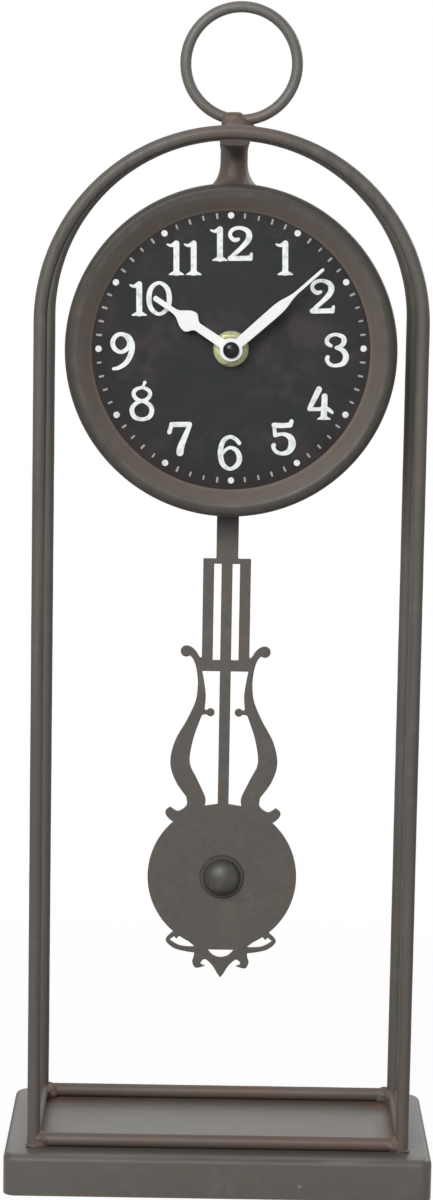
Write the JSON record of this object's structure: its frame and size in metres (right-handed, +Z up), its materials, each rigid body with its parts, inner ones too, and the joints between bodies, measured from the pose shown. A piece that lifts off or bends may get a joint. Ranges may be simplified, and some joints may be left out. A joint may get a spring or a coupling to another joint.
{
  "type": "table clock",
  "caption": "Table clock: a round drum dial hung from an arched wire frame on a sheet base, with a ring on top and a pierced lyre pendulum that swings below the dial.",
  "frame": {"origin": "middle of the base's underside, on the surface that the clock stands on", "axes": "+Z up, -Y out of the dial towards the viewer, +X to the viewer's right"},
  "size_m": [0.1636, 0.087, 0.4506],
  "materials": {
    "aged_steel": "dark grey-brown patinated steel, satin",
    "base_steel": "grey patinated sheet steel, satin",
    "lens_glass": "clear flat glass",
    "dial_black": "matt charcoal paint",
    "hand_white": "white paint",
    "pale_brass": "pale turned brass",
    "cap_black": "gloss black",
    "case_plastic": "moulded black plastic",
    "wheel_plastic": "natural moulded plastic",
    "bright_steel": "bright steel",
    "copper_wire": "enamelled copper winding",
    "board_green": "circuit board",
    "cell_jacket": "plain printed cell jacket",
    "rubber_black": "soft black rubber"
  },
  "bodies": {
    "frame": {"front_arch": "aged_steel", "rear_arch": "aged_steel", "front_rail": "aged_steel", "rear_rail": "aged_steel", "left_rail": "aged_steel", "right_rail": "aged_steel", "top_bridge": "aged_steel", "ring_saddle": "aged_steel", "finial_ring": "aged_steel", "hanger_tube": "aged_steel", "drum_case": "aged_steel", "bezel_ring": "aged_steel", "dial_ring": "aged_steel", "base_tray": "base_steel", "dial_lens": "lens_glass", "dial_plate": "dial_black", "shaft_bush": "pale_brass", "brass_washer": "pale_brass", "hand_nut": "pale_brass", "front_plate": "case_plastic", "rear_cover": "case_plastic", "drive_unit": "case_plastic", "stator_core": "bright_steel", "crystal": "bright_steel", "positive_contact": "bright_steel", "negative_contact": "bright_steel", "pivot_pin": "bright_steel", "drive_coil": "copper_wire", "impulse_coil": "copper_wire", "circuit_board": "board_green", "battery": "cell_jacket", "rubber_washer": "rubber_black"},
    "minute": {"centre_arbor": "bright_steel", "centre_wheel": "wheel_plastic", "cannon_pinion": "wheel_plastic", "minute_hand": "hand_white", "hand_cap": "cap_black"},
    "hour": {"hour_wheel": "wheel_plastic", "hour_hand": "hand_white"},
    "setting": {"minute_wheel": "wheel_plastic", "setting_knob": "case_plastic"},
    "drive": {"drive_pinion": "wheel_plastic"},
    "pendulum": {"pendulum_lever": "wheel_plastic", "lever_magnet": "bright_steel", "pendulum_plate": "aged_steel", "bob_boss": "aged_steel", "bob_stud": "aged_steel"}
  },
  "joints": [
    {"name": "minute_turn", "type": "hinge", "parent": "frame", "child": "minute", "pos_m": [0, 0, 0.3215], "axis": [0, 1, 0], "continuous": true},
    {"name": "hour_turn", "type": "hinge", "parent": "frame", "child": "hour", "pos_m": [0, 0, 0.3215], "axis": [0, 1, 0], "continuous": true},
    {"name": "setting_turn", "type": "hinge", "parent": "frame", "child": "setting", "pos_m": [0.01128, 0, 0.3174], "axis": [0, 1, 0], "continuous": true},
    {"name": "drive_turn", "type": "hinge", "parent": "frame", "child": "drive", "pos_m": [-0.01024, 0, 0.31777], "axis": [0, 1, 0], "continuous": true},
    {"name": "pendulum_swing", "type": "hinge", "parent": "frame", "child": "pendulum", "pos_m": [0, 0, 0.3045], "axis": [0, 1, 0], "range_deg": [-5, 5]}
  ],
  "couplings": [
    {"joint": "hour_turn", "follows": "minute_turn", "ratio": 0.083333},
    {"joint": "setting_turn", "follows": "minute_turn", "ratio": -0.33333},
    {"joint": "drive_turn", "follows": "minute_turn", "ratio": -6}
  ]
}
